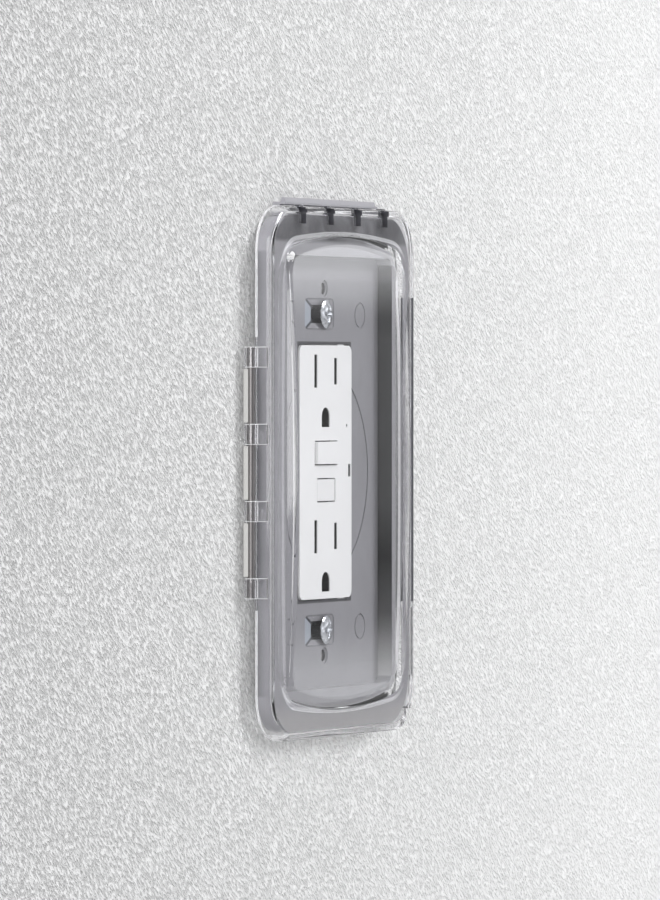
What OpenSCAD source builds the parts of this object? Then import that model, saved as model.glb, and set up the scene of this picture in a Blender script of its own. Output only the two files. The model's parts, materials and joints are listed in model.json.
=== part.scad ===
// GFCI receptacle behind a low-profile clear weather cover.
// +Z is up, the front faces -Y, and the wall's surface is the plane y = 0.
// The origin is on the wall's surface, at the middle of the receptacle.

/* [Lid] */
// Width of the lid over its skirt
lid_w = 91.7; // [88:0.1:96]
// Height of the lid over its skirt
lid_h = 139.2; // [134:0.1:142]
// Corner radius of the lid
lid_r = 12; // [8:0.5:16]
// Wall thickness of the lid
lid_wall = 1.6; // [1.2:0.1:2]
// Wall to the front of the lid's flat frame
frame_front = 8; // [7.5:0.1:9]
// Wall to the rear rim of the lid's skirt
skirt_rim = 3; // [3:0.1:3.6]
// Width of the raised window
window_w = 75; // [60:0.5:80]
// Height of the raised window at its middle
window_h = 123.6; // [110:0.2:126]
// Drop of the window's arched top at its corners
window_drop = 4.2; // [2:0.1:6]
// Rise of the window over the frame at its top and bottom
window_low = 0.6; // [0.6:0.1:2]
// Rise of the window over the frame at mid height
window_high = 3.1; // [1.5:0.1:4]

/* [Lid hinge] */
// Distance of the hinge axis to the left of the centre
hinge_x = 47.4; // [47:0.1:49]
// Distance of the hinge axis in front of the wall
hinge_y = 2.6; // [2.4:0.1:2.8]
// Radius of the hinge rod
rod_r = 1.05; // [0.8:0.05:1.2]
// Outer radius of the lid's clips
clip_r = 1.7; // [1.5:0.05:1.9]
// Height of one clip
clip_h = 5.4; // [4:0.1:7]
// Distance from one clip to the next
clip_pitch = 19.9; // [16:0.1:22]

/* [Cover base] */
// Wall to the front of the base's floor
floor_front = 2; // [1.8:0.1:2.4]
// Thickness of the base's floor
floor_t = 1.4; // [1.2:0.1:1.6]
// Width of the tray
tray_w = 70; // [64:0.5:72]
// Height of the tray
tray_h = 113.5; // [108:0.5:116]
// Wall to the front of the tray's rim
rim_front = 6.1; // [5.5:0.1:6.1]
// Diameter of the scored circle in the floor
score_d = 56.8; // [50:0.2:60]

/* [Receptacle] */
// Width of the receptacle's face
face_w = 33.3; // [33:0.1:33.6]
// Height of the receptacle's face
face_h = 66.8; // [66.5:0.1:67]
// Wall to the front of the face
face_front = 2.4; // [2.2:0.1:3]
// Distance between the box screws
box_pitch = 83.34; // [83:0.01:84]
// Distance between the cover plate holes
plate_pitch = 96.82; // [96:0.01:97]
// Width of the rear housing
body_w = 43; // [42:0.5:45]
// Height of the rear housing
body_h = 69; // [68:0.5:71]
// Wall to the back of the rear housing
body_back = 30.5; // [30:0.5:33]

/* [Travel] */
// Gap round a button
button_gap = 0.3; // [0.3:0.05:0.4]
// Radius of the box screws' shanks
screw_r = 1.75; // [1.7:0.01:1.8]
// Running gap round a sliding stem
run_gap = 0.05; // [0.02:0.01:0.1]

/* [Hidden] */
$fn = 64;
OVER = 1;

smoke = [0.62, 0.62, 0.65, 0.45];
base_grey = [0.66, 0.66, 0.69];
white = [0.93, 0.93, 0.92];
nylon = [0.88, 0.87, 0.82];
black = [0.12, 0.12, 0.13];
steel = [0.75, 0.76, 0.78];
brass = [0.79, 0.65, 0.32];

// Lid
skirt_in_w = lid_w - 2 * lid_wall;
skirt_in_h = lid_h - 2 * lid_wall;
window_arc_r = (pow(window_w / 2, 2) + pow(window_drop, 2)) / (2 * window_drop);
bow = window_high - window_low;
bow_r = (pow(window_h / 2, 2) + pow(bow, 2)) / (2 * bow);
clip_z0 = 0.3;
clip_zs = [for (i = [-1.5:1:1.5]) clip_z0 + i * clip_pitch];
slot_pitch = 17.5;
slot_xs = [for (i = [-1.5:1:1.5]) i * slot_pitch];
corner_cut = 5.6;
tab_z = -46.2;
tab_h = 18.3;

// Cover base
skirt_gap = 0.55;
front_w = skirt_in_w - 2 * skirt_gap;
front_h = skirt_in_h - 2 * skirt_gap;
front_r = 13;
step_y = 2.6;
rear_w = 78.6;
rear_h = 125;
floor_back = floor_front - floor_t;
gasket_w = 76.4;
gasket_h = 122.6;
gasket_band = 2.7;
gasket_t = 1.6;
gasket_gap = 0.05;
rail_w = 59;
rail_front = 4.3;
rail_z = lid_h / 2 + 0.4;
cradle_zs = [for (i = [-1:1:1]) clip_z0 + i * clip_pitch];
cradle_h = clip_pitch - clip_h - 0.7;
plug_x = 23;
plug_z = 41.5;
pocket = 0.7;
hook_x = 1.7;

// Box screws
head_r = 3.75;
head_dome_r = 7.34;
neck_r = 1.4;
screw_end = 27;

// Receptacle, front to back
face_t = 2.2;
face_wall = 1.8;
face_in = face_front - face_t;
strap_front = 3.4;
strap_t = 1.4;
strap_back = strap_front + strap_t;
mid_front = 0.2;
mid_back = 14.5;
mid_floor = 13.2;
flange_back = 6.4;
board_front = 25;
board_t = 1.6;
body_wall = 1.8;
body_floor = body_back - 1.6;
panel_t = 0.8;
wire_hole_r = 1.5;
wire_hole_x = 16.4;
post_x = 17.6;
post_z = 30.6;
post_hole_r = 1.35;
peg_x = 12.8;
peg_z = 30.5;
peg_r = 1;
ground_screw_x = -15.5;
ground_screw_z = -39.3;
lamp_x = 12.95;

// Outlets: neutral slot, hot slot and ground hole
upper_z = 26.6;
lower_z = -17;
ground_up_z = 14.5;
ground_low_z = -28.9;
neutral_x = -6.3;
hot_x = 6.4;
slot_t = 1.9;
neutral_h = 8.7;
hot_h = 7;
ground_r = 2.55;

// Buttons: x centre, z centre, width, height
reset_at = [0.35, 5.05];
reset_size = [14.1, 5.9];
test_at = [0.35, -4.8];
test_size = [11.3, 5.8];
stem_r = 1.2;
button_seat = 6.5;
reset_cap_back = 1.5;
test_cap_back = 2.4;

// Terminals
term_z = 17;
term_y = 13;
term_r = 2;
tab_x = body_w / 2 - 1.1;
strip_x = 10.1;

// Latch and solenoid
plunger_y = 20;
plunger_r = 1.7;
coil_low = 15.5;
coil_high = 27.5;
bobbin_wall = 0.9;
arm_x = 10.5;
arm_front = 16.3;
arm_root = -20;
contact_z = 12;
core_z = -18.5;
core_hole_r = 2.6;

// Rectangle with round corners, centred.
module round_rect(w, h, r) {
  square([w - 2 * r, h], center = true);
  square([w, h - 2 * r], center = true);
  for (x = [-1, 1], z = [-1, 1])
    translate([x * (w / 2 - r), z * (h / 2 - r)]) circle(r);
}

// Puts a flat outline in the XZ plane and gives it depth from y0 back to y1.
module plate(y0, y1) {
  translate([0, y1, 0]) rotate([90, 0, 0]) linear_extrude(y1 - y0) children();
}

// Slab with round corners from y0 back to y1.
module slab(w, h, r, y0, y1) {
  plate(y0, y1) round_rect(w, h, r);
}

// Box from one corner to the other.
module box(low, high) {
  translate(low) cube(high - low);
}

// Round bar along Y, Z or X.
module bar_y(r, y0, y1, x = 0, z = 0) {
  translate([x, y0, z]) rotate([-90, 0, 0]) cylinder(r = r, h = y1 - y0);
}

module bar_z(r, z0, z1, x = 0, y = 0) {
  translate([x, y, z0]) cylinder(r = r, h = z1 - z0);
}

module bar_x(r, x0, x1, y = 0, z = 0) {
  translate([x0, y, z]) rotate([0, 90, 0]) cylinder(r = r, h = x1 - x0);
}

module mirrored_x() {
  children();
  mirror([1, 0, 0]) children();
}

module mirrored_z() {
  children();
  mirror([0, 0, 1]) children();
}

// Flat-wire coil spring along Z: each slice is half a ring, so wire and gap are equal.
module spring(r, wire, length, turns) {
  outer = [for (a = [90:30:270]) (r + wire / 2) * [cos(a), sin(a)]];
  inner = [for (a = [270:-30:90]) (r - wire / 2) * [cos(a), sin(a)]];
  linear_extrude(length, twist = -360 * turns, slices = 12 * turns, segments = 0, $fn = 14)
    polygon(concat(outer, inner));
}

// Body under the raised window: arched top and bottom, front bowed over its height.
module window_body(inset, y_back) {
  intersection() {
    slab(window_w - 2 * inset, window_h, 3, -frame_front - 2 * window_high, y_back);
    for_both_arcs(inset);
    translate([0, bow_r - frame_front - window_high, 0]) rotate([0, 90, 0])
      cylinder(r = bow_r - inset, h = lid_w, center = true, $fn = 720);
  }
}

module for_both_arcs(inset) {
  intersection() {
    window_arc(window_h / 2 - window_arc_r, inset);
    window_arc(window_arc_r - window_h / 2, inset);
  }
}

module window_arc(z, inset) {
  translate([0, 0, z]) rotate([90, 0, 0])
    cylinder(r = window_arc_r - inset, h = 40, center = true, $fn = 360);
}

module hinge_clip(z) {
  bar_z(clip_r, z - clip_h / 2, z + clip_h / 2, -hinge_x, -hinge_y);
  box([-hinge_x, -hinge_y - clip_r, z - clip_h / 2],
      [-lid_w / 2 + 0.5, -skirt_rim, z + clip_h / 2]);
  box([-lid_w / 2 - 0.7, -frame_front + 1.3, z - clip_h / 2],
      [-lid_w / 2 + 0.5, -skirt_rim, z + clip_h / 2]);
}

// Hook over one slot, for hanging the lid on the rail along the top.
module top_hook(x) {
  box([x - hook_x, -frame_front + 0.4, lid_h / 2 - lid_wall],
      [x + hook_x - 0.4, -frame_front + 2.5, lid_h / 2 + 1.3]);
}

module lid() {
  color(smoke) difference() {
    union() {
      slab(lid_w, lid_h, lid_r, -frame_front, -skirt_rim);
      window_body(0, -frame_front + lid_wall);
      for (z = clip_zs) hinge_clip(z);
      for (x = slot_xs) top_hook(x);
      // Pull tab of the latch on the right side
      box([lid_w / 2 - 0.5, -frame_front + 1, tab_z - tab_h / 2],
          [lid_w / 2 + 0.7, -skirt_rim - 0.3, tab_z + tab_h / 2]);
    }
    slab(skirt_in_w, skirt_in_h, lid_r - lid_wall, -frame_front + lid_wall, OVER);
    window_body(lid_wall, -frame_front + 2 * lid_wall);
    bar_z(rod_r + run_gap, clip_zs[0] - clip_h, clip_zs[3] + clip_h, -hinge_x, -hinge_y);
    for (x = slot_xs)
      box([x - hook_x, -frame_front - OVER, lid_h / 2 - 3.6],
          [x + hook_x, -frame_front + lid_wall + OVER, lid_h / 2 - 0.9]);
    // Finger notch at the lower right corner
    box([lid_w / 2 - corner_cut, -frame_front - OVER, -lid_h / 2 - OVER],
        [lid_w / 2 + OVER, OVER, -lid_h / 2 + corner_cut]);
  }
}

module hinge_rod() {
  color(steel)
    bar_z(rod_r, clip_zs[0] - clip_h / 2, clip_zs[3] + clip_h / 2, -hinge_x, -hinge_y);
}

module screw_keyhole() {
  slab_at(-3.2, box_pitch / 2, 18.9, 8.3, 2, -floor_front - OVER, -floor_front + pocket);
  slab_at(-2.5, box_pitch / 2, 9.2, 4.1, 2, -floor_front, strap_front + OVER);
}

module slab_at(x, z, w, h, r, y0, y1) {
  translate([x, 0, z]) slab(w, h, r, y0, y1);
}

module cover_base() {
  color(base_grey) difference() {
    union() {
      slab(front_w, front_h, front_r, -rim_front, -step_y);
      slab(rear_w, rear_h, 9, -step_y - OVER, -floor_back);
      mirrored_z() slab_at(-2, box_pitch / 2, 14, 9, 2, -floor_front + 0.5, strap_front);
      spare_rail();
      for (z = cradle_zs)
        box([-hinge_x - 1, -hinge_y, z - cradle_h / 2],
            [-rear_w / 2 + 1, -0.9, z + cradle_h / 2]);
    }
    slab(tray_w, tray_h, 3, -rim_front - OVER, -floor_front);
    slab(face_w + 0.6, face_h + 0.6, 2.3, -rim_front, OVER);
    difference() {
      slab(gasket_w, gasket_h, 8, -gasket_t, OVER);
      slab(gasket_w - 2 * gasket_band, gasket_h - 2 * gasket_band, 5.3, -gasket_t - OVER, 2);
    }
    mirrored_z() {
      screw_keyhole();
      bar_y(1.6, -rim_front, OVER, 0, plate_pitch / 2);
      bar_y(2.2, -rim_front, -floor_front + 0.5, 0, plate_pitch / 2);
      mirrored_x() ring(3.5, 0.5, plug_x, plug_z);
    }
    ring(score_d / 2, 0.7, 0, 0);
    bar_z(rod_r, -lid_h / 2, lid_h / 2, -hinge_x, -hinge_y);
  }
}

// Shallow ring groove in the front of the base's floor.
module ring(r, width, x, z) {
  difference() {
    bar_y(r, -rim_front, -floor_front + 0.35, x, z);
    bar_y(r - width, -rim_front - OVER, -floor_front + OVER, x, z);
  }
}

// Second hinge rail along the top, for a lid that opens upwards.
module spare_rail() {
  box([-rail_w / 2, -step_y + 0.05, rear_h / 2 - OVER], [rail_w / 2, -floor_back, rail_z + 0.6]);
  box([-rail_w / 2, -rail_front, rail_z], [rail_w / 2, -floor_back, rail_z + 0.6]);
  translate([-rail_w / 2 + 0.6, 0, rail_z + 0.5]) rotate([90, 0, 90])
    linear_extrude(rail_w - 1.2)
      polygon([[-rail_front + 0.3, 0], [-3.6, 1.3], [-2.9, 1.3], [-2.3, 0]]);
}

module wall_gasket() {
  color(black) difference() {
    slab(gasket_w - 2 * gasket_gap, gasket_h - 2 * gasket_gap, 8, -gasket_t, 0);
    slab(gasket_w - 2 * gasket_band + 2 * gasket_gap, gasket_h - 2 * gasket_band + 2 * gasket_gap,
         5.3, -gasket_t - OVER, OVER);
  }
}

// Cross recess for a screw whose head faces -Y.
module cross_recess(y0, y1) {
  box([-1.9, y0, -0.45], [1.9, y1, 0.45]);
  box([-0.45, y0, -1.9], [0.45, y1, 1.9]);
}

module mounting_screws() {
  seat = -floor_front + pocket;
  color(steel) mirrored_z() translate([0, 0, box_pitch / 2]) difference() {
    union() {
      intersection() {
        translate([0, seat + head_dome_r - 2.14, 0]) sphere(head_dome_r);
        bar_y(head_r, seat - 4, seat);
      }
      bar_y(neck_r, seat, strap_back + 1);
      bar_y(screw_r, strap_back + 1, screw_end);
    }
    cross_recess(seat - 4, seat - 0.7);
  }
}

// Blade slots and ground hole of one outlet, cut from y0 back to y1.
module outlet_holes(blade_z, ground_z, y0, y1) {
  box([neutral_x - slot_t / 2, y0, blade_z - neutral_h / 2],
      [neutral_x + slot_t / 2, y1, blade_z + neutral_h / 2]);
  box([hot_x - slot_t / 2, y0, blade_z - hot_h / 2],
      [hot_x + slot_t / 2, y1, blade_z + hot_h / 2]);
  bar_y(ground_r, y0, y1, 0, ground_z);
  box([-ground_r, y0, ground_z - ground_r - 0.1], [ground_r, y1, ground_z]);
}

module button_hole(at, size, gap, y0, y1) {
  translate([at[0], 0, at[1]])
    slab(size[0] + 2 * gap, size[1] + 2 * gap, 0.5, y0, y1);
}

module face_cover() {
  color(white) {
    difference() {
      slab(face_w, face_h, 2, -face_front, strap_front);
      slab(face_w - 2 * face_wall, face_h - 2 * face_wall, 1, -face_in, strap_front + OVER);
      outlet_holes(upper_z, ground_up_z, -face_front - OVER, face_front);
      outlet_holes(lower_z, ground_low_z, -face_front - OVER, face_front);
      button_hole(reset_at, reset_size, button_gap, -face_front - OVER, face_front);
      button_hole(test_at, test_size, button_gap, -face_front - OVER, face_front);
      box([14.5, -face_front - OVER, -1.4], [16, face_front, 2]);
      bar_y(0.45, -face_front - OVER, -face_front + 0.8, 13.6, 12.2);
    }
    mirrored_x() mirrored_z() bar_y(peg_r, -face_in - 0.5, 3, peg_x, peg_z);
  }
}

module reset_button() {
  color(white) {
    translate([reset_at[0], 0, reset_at[1]])
      slab(reset_size[0], reset_size[1], 0.4, -face_front - 0.8, reset_cap_back);
    bar_y(stem_r, reset_cap_back - 0.5, 22, reset_at[0], reset_at[1]);
  }
}

module test_button() {
  color(white) {
    translate([test_at[0], 0, test_at[1]])
      slab(test_size[0], test_size[1], 0.4, -face_front + 0.1, test_cap_back);
    bar_y(stem_r, test_cap_back - 0.5, 16, test_at[0], test_at[1]);
  }
}

module indicator_lens() {
  color([0.3, 0.32, 0.3]) {
    box([14.65, -face_front + 0.15, -1.25], [15.85, 2.4, 1.85]);
    box([lamp_x - 0.6, 0.9, -0.6], [15, 2.4, 0.6]);
    box([lamp_x - 0.6, 0.9, -0.6], [lamp_x + 0.6, 20, 0.6]);
  }
}

module mounting_strap() {
  color(steel) difference() {
    union() {
      slab(41, 72, 2, strap_front, strap_back);
      slab(22, 104, 2, strap_front, strap_back);
      box([-20.5, strap_front, -43], [-8, strap_back, -34]);
    }
    slab(30.4, 64, 1, strap_front - OVER, strap_back + OVER);
    mirrored_z() {
      slab_at(0, box_pitch / 2, 7, 3.9, 1.94, strap_front - OVER, strap_back + OVER);
      bar_y(1.6, strap_front - OVER, strap_back + OVER, 0, plate_pitch / 2);
      mirrored_x() bar_y(post_hole_r, strap_front - OVER, strap_back + OVER, post_x, post_z);
    }
    bar_y(term_r, strap_front - OVER, strap_back + OVER, ground_screw_x, ground_screw_z);
  }
}

// Pockets for the blade contacts of one side, open to the front.
module contact_pockets() {
  for (z = [upper_z, lower_z])
    box([4, -OVER, z - 5.8], [11.5, mid_floor, z + 5.6]);
  box([8.3, -OVER, lower_z], [11.5, mid_floor, upper_z]);
  box([11, -OVER, term_z - 3.2], [16, 10.95, term_z + 3.2]);
  bar_y(1.1, mid_floor - OVER, mid_back + OVER, strip_x, contact_z);
}

module middle_housing() {
  color(nylon) difference() {
    union() {
      slab(29.2, 62.6, 1, mid_front, mid_back);
      slab(38.6, 64.6, 2, strap_back + 0.1, flange_back);
    }
    mirrored_x() contact_pockets();
    button_hole(reset_at, reset_size, 0.5, -OVER, button_seat);
    button_hole(test_at, test_size, 0.5, -OVER, button_seat);
    bar_y(stem_r + run_gap, 0, mid_back + OVER, reset_at[0], reset_at[1]);
    bar_y(stem_r + run_gap, 0, mid_back + OVER, test_at[0], test_at[1]);
    box([-3.4, -OVER, ground_up_z - 2.9], [3.4, 10, body_h / 2]);
    box([-3.4, -OVER, -body_h / 2], [3.4, 10, ground_low_z + 2.9]);
    for (z = [ground_up_z, ground_low_z]) bar_y(2.9, 9, mid_back - 1, 0, z);
    box([lamp_x - 0.75, -OVER, -0.8], [lamp_x + 0.75, mid_back + OVER, 0.8]);
    box([lamp_x - 0.75, -OVER, -0.8], [15, 2.6, 0.8]);
    mirrored_x() mirrored_z() {
      bar_y(peg_r + run_gap, -OVER, 3.4, peg_x, peg_z);
      bar_y(post_hole_r + 0.1, 0, flange_back + OVER, post_x, post_z);
    }
  }
}

module rear_housing() {
  color(nylon) difference() {
    union() {
      difference() {
        slab(body_w, body_h, 3, strap_back, body_back);
        slab(body_w - 2 * body_wall, body_h - 2 * body_wall, 1.5, 0, body_floor);
      }
      mirrored_x() mirrored_z()
        bar_y(2.6, flange_back + 0.1, body_back - 0.5, post_x, post_z);
      slab(24, 60, 2, body_floor, body_back + panel_t);
    }
    for (z = [-24:8:24]) slab_at(0, z, 18, 1.2, 0.5, body_back + panel_t - 0.4, body_back + OVER);
    mirrored_x() mirrored_z() for (z = [term_z - 3.6, term_z + 3.6])
      bar_y(wire_hole_r, body_floor - OVER, body_back + OVER, wire_hole_x, z);
    mirrored_x() mirrored_z() {
      bar_y(post_hole_r, 0, body_back + OVER, post_x, post_z);
      bar_y(2.3, body_back - 1.4, body_back + OVER, post_x, post_z);
      box([body_w / 2 - 1.2, term_y - 5.5, term_z - 5], [body_w, term_y + 6, term_z + 5]);
      bar_x(2.3, body_w / 2 - 4, body_w, term_y, term_z);
      box([body_w / 2 - 4, term_y - 4.1, term_z - 3.2], [body_w, term_y - 2.1, term_z + 3.2]);
    }
    mirrored_z() box([-3.5, 0, 30], [3.5, strap_back + 0.95, body_h]);
  }
}

module housing_screws() {
  color(steel) mirrored_x() mirrored_z() difference() {
    union() {
      bar_y(post_hole_r - run_gap, strap_front + 0.2, body_back - 1, post_x, post_z);
      bar_y(2.2, body_back - 1.4, body_back - 0.1, post_x, post_z);
    }
    box([post_x - 3, body_back - 0.7, post_z - 0.35], [post_x + 3, body_back, post_z + 0.35]);
  }
}

// Clip for one ground pin, on a strip that runs out to the strap.
module ground_contact(pin_z, strip_end) {
  strip_z = [pin_z - 2.2, pin_z + 2.2, strip_end];
  difference() {
    union() {
      for (x = [-1, 1])
        box([x * 2.75 - 0.3, 0.8, pin_z - 2.2], [x * 2.75 + 0.3, 9, pin_z + 2.2]);
      box([-3.05, strap_back + 0.05, min(strip_z)], [3.05, strap_back + 0.85, max(strip_z)]);
    }
    bar_y(2.45, 0, 10, 0, pin_z);
  }
}

module ground_contacts() {
  color(brass) {
    ground_contact(ground_up_z, 35.5);
    ground_contact(ground_low_z, -35.5);
  }
}

module ground_screw() {
  color([0.2, 0.5, 0.3]) difference() {
    union() {
      bar_y(term_r - 0.02, strap_front - 1, strap_back + 1, ground_screw_x, ground_screw_z);
      translate([ground_screw_x, strap_back + 0.8, ground_screw_z]) rotate([-90, 0, 0])
        cylinder(r = 3.9, h = 2.4, $fn = 6);
    }
    box([ground_screw_x - 4.5, strap_back + 2.3, ground_screw_z - 0.4],
        [ground_screw_x + 4.5, strap_back + 4, ground_screw_z + 0.4]);
  }
}

// Spring clips and bus strip of one side, for blades at x = at.
module blade_contacts(at) {
  for (z = [upper_z, lower_z]) {
    box([at + 0.75, 0.9, z - 2.8], [at + 1.3, 10.8, z + 2.8]);
    box([at - 1.3, 0.9, z - 2.8], [at - 0.75, 10.8, z + 2.8]);
    box([at - 1.3, 10, z - 2.8], [strip_x + 0.4, 10.8, z + 2.8]);
  }
  box([strip_x - 0.4, 6.5, lower_z - 2.8], [strip_x + 0.4, 10.8, upper_z + 2.8]);
  box([strip_x - 1.3, 10, contact_z - 2], [strip_x + 1.2, 10.8, contact_z + 2]);
  box([strip_x, 10, term_z - 3], [tab_x + 0.5, 10.8, term_z + 3]);
  terminal_tab(term_z);
}

module terminal_tab(z) {
  difference() {
    box([tab_x, term_y - 4.5, z - 4.3], [tab_x + 1, term_y + 4.5, z + 4.3]);
    bar_x(term_r + 0.02, tab_x - OVER, tab_x + 2, term_y, z);
  }
}

module neutral_contacts() {
  color(steel) mirror([1, 0, 0]) blade_contacts(-neutral_x);
}

module hot_contacts() {
  color(brass) blade_contacts(hot_x);
}

// Silver rivets that the arms' contacts close on.
module fixed_contacts() {
  color([0.85, 0.86, 0.88]) mirrored_x() {
    bar_y(1, 10.8, mid_back + 0.3, strip_x, contact_z);
    bar_y(1.6, mid_back + 0.05, mid_back + 0.8, strip_x, contact_z);
  }
}

module contact_arms() {
  color(brass) mirrored_x() {
    box([arm_x - 1.2, arm_front, arm_root - 3], [arm_x + 1.2, arm_front + 0.5, contact_z + 2]);
    bar_x(0.5, arm_x - 1.2, arm_x + 1.2, arm_front + 0.25, arm_root);
    bar_y(1.5, mid_back + 1.15, arm_front + 0.1, arm_x - 0.2, contact_z);
  }
}

module line_terminals() {
  color(brass) mirrored_x() {
    terminal_tab(-term_z);
    box([18.4, term_y - 3.8, -term_z - 3], [tab_x + 0.5, term_y - 3, -term_z + 3]);
    box([18.4, term_y - 3.8, -term_z - 3], [19.2, board_front, -term_z + 3]);
  }
}

module terminal_screw(z) {
  head = body_w / 2 + 1.7;
  difference() {
    union() {
      bar_x(term_r, tab_x - 0.3, head + 0.2, term_y, z);
      bar_x(4, head, head + 2.2, term_y, z);
    }
    box([head + 1.1, term_y - 5, z - 0.5], [head + 3, term_y + 5, z + 0.5]);
  }
}

module silver_screws() {
  color(steel) mirror([1, 0, 0]) mirrored_z() terminal_screw(term_z);
}

module brass_screws() {
  color(brass) mirrored_z() terminal_screw(term_z);
}

module clamp_plates() {
  color(steel) mirrored_x() mirrored_z() difference() {
    box([body_w / 2 + 0.4, term_y - 4.5, term_z - 4.3],
        [body_w / 2 + 1.6, term_y + 4.5, term_z + 4.3]);
    bar_x(term_r + 0.15, body_w / 2, body_w, term_y, term_z);
  }
}

module circuit_board() {
  color([0.1, 0.4, 0.25]) difference() {
    slab(38.6, 64.6, 1, board_front, board_front + board_t);
    mirrored_x() mirrored_z() bar_y(3.1, 0, 40, post_x, post_z);
  }
}

// Bars that carry the line current through the transformer cores.
module sense_conductors() {
  color(brass) mirrored_x() {
    box([0.7, 15, core_z - 0.8], [2.1, board_front, core_z + 0.8]);
    box([0.7, 15, core_z - 0.8], [arm_x + 1, 15.7, core_z + 0.8]);
  }
}

module transformer_case() {
  color(black) difference() {
    bar_y(8.5, 16.2, board_front - 0.2, 0, core_z);
    bar_y(7.6, 17, board_front, 0, core_z);
    bar_y(core_hole_r, 16, board_front, 0, core_z);
  }
}

module transformer_cores() {
  color([0.35, 0.35, 0.38]) for (y = [17.2, 21]) difference() {
    bar_y(7.4, y, y + 3.2, 0, core_z);
    bar_y(core_hole_r + 0.8, y - OVER, y + 4, 0, core_z);
  }
}

module latch_block() {
  color(nylon) difference() {
    union() {
      box([-8.3, 15, 0.4], [9, 18.2, 9.7]);
      box([-12.2, 17.1, 3.5], [12.2, 18.2, 6.6]);
    }
    bar_y(stem_r + 0.35, 10, 20, reset_at[0], reset_at[1]);
  }
}

module latch_plate() {
  color(steel) difference() {
    union() {
      box([-2.7, 18.55, 0.6], [3.4, 19.35, 12.3]);
      box([-2.7, 18.55, 11.5], [3.4, 22.6, 12.3]);
    }
    bar_y(stem_r + 0.35, 18, 20, reset_at[0], reset_at[1]);
    bar_y(stem_r + 0.35, 18, 20, reset_at[0], reset_at[1] + 1.3);
  }
}

module solenoid_bobbin() {
  color(nylon) difference() {
    union() {
      for (z = [coil_low, coil_high - bobbin_wall])
        bar_z(4.6, z, z + bobbin_wall, reset_at[0], plunger_y);
      bar_z(2.3, coil_low, coil_high, reset_at[0], plunger_y);
    }
    bar_z(plunger_r + run_gap, 10, 30, reset_at[0], plunger_y);
  }
}

module solenoid_coil() {
  color([0.65, 0.3, 0.15]) difference() {
    bar_z(4.2, coil_low + 1, coil_high - 1, reset_at[0], plunger_y);
    bar_z(2.35, coil_low, coil_high, reset_at[0], plunger_y);
  }
}

module solenoid_plunger() {
  color(steel) {
    bar_z(plunger_r, 12.7, 30.6, reset_at[0], plunger_y);
    bar_z(2.9, 30.4, 31.3, reset_at[0], plunger_y);
  }
}

module plunger_spring() {
  color(steel) translate([reset_at[0], plunger_y, coil_high + 0.05]) spring(2.4, 0.5, 2.8, 3);
}

// Coil round a button's stem, from the cap's back to the seat in the middle housing.
module button_spring(at, y0) {
  translate([at[0], y0 + 0.05, at[1]]) rotate([-90, 0, 0])
    spring(2, 0.6, button_seat - y0 - 0.1, 4);
}

module reset_spring() {
  color(steel) button_spring(reset_at, reset_cap_back);
}

module test_spring() {
  color(steel) button_spring(test_at, test_cap_back);
}

module test_blade() {
  color(brass) {
    box([-7, 16.3, -6.2], [3, 16.7, -3.4]);
    box([-7, 16.3, -6.2], [-6.6, board_front, -3.4]);
  }
}

module varistor() {
  color([0.8, 0.45, 0.15]) bar_x(4.3, -15.6, -12.2, 20.5, 22);
}

module film_capacitor() {
  color([0.7, 0.6, 0.2]) box([9.5, 17.5, 18.5], [16, board_front - 0.05, 27]);
}

module electrolytic_capacitor() {
  color(black) bar_y(2.6, 17.5, board_front - 0.05, 12.6, -27.6);
}

module control_chip() {
  color(black) box([-16.5, board_front - 2, 1], [-10, board_front - 0.05, 9]);
}

module resistors() {
  color([0.3, 0.55, 0.7]) for (i = [0:3])
    bar_z(0.9, -12.5, -6.5, -16.5 + i * 2.4, board_front - 1);
}

module status_led() {
  color([0.5, 0.8, 0.5]) bar_y(1.4, 20.35, board_front - 0.05, lamp_x, 0);
}

lid();
hinge_rod();
cover_base();
wall_gasket();
mounting_screws();
face_cover();
reset_button();
test_button();
indicator_lens();
mounting_strap();
middle_housing();
rear_housing();
housing_screws();
ground_contacts();
ground_screw();
neutral_contacts();
hot_contacts();
fixed_contacts();
contact_arms();
line_terminals();
silver_screws();
brass_screws();
clamp_plates();
circuit_board();
sense_conductors();
transformer_case();
transformer_cores();
latch_block();
latch_plate();
solenoid_bobbin();
solenoid_coil();
solenoid_plunger();
plunger_spring();
reset_spring();
test_spring();
test_blade();
varistor();
film_capacitor();
electrolytic_capacitor();
control_chip();
resistors();
status_led();
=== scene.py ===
"""GFCI receptacle behind a clear smoky weather cover, on a rough white wall."""
import json
from math import atan2, cos, pi, radians, sin, sqrt

import bmesh
import bpy
from mathutils import Matrix, Vector

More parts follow.
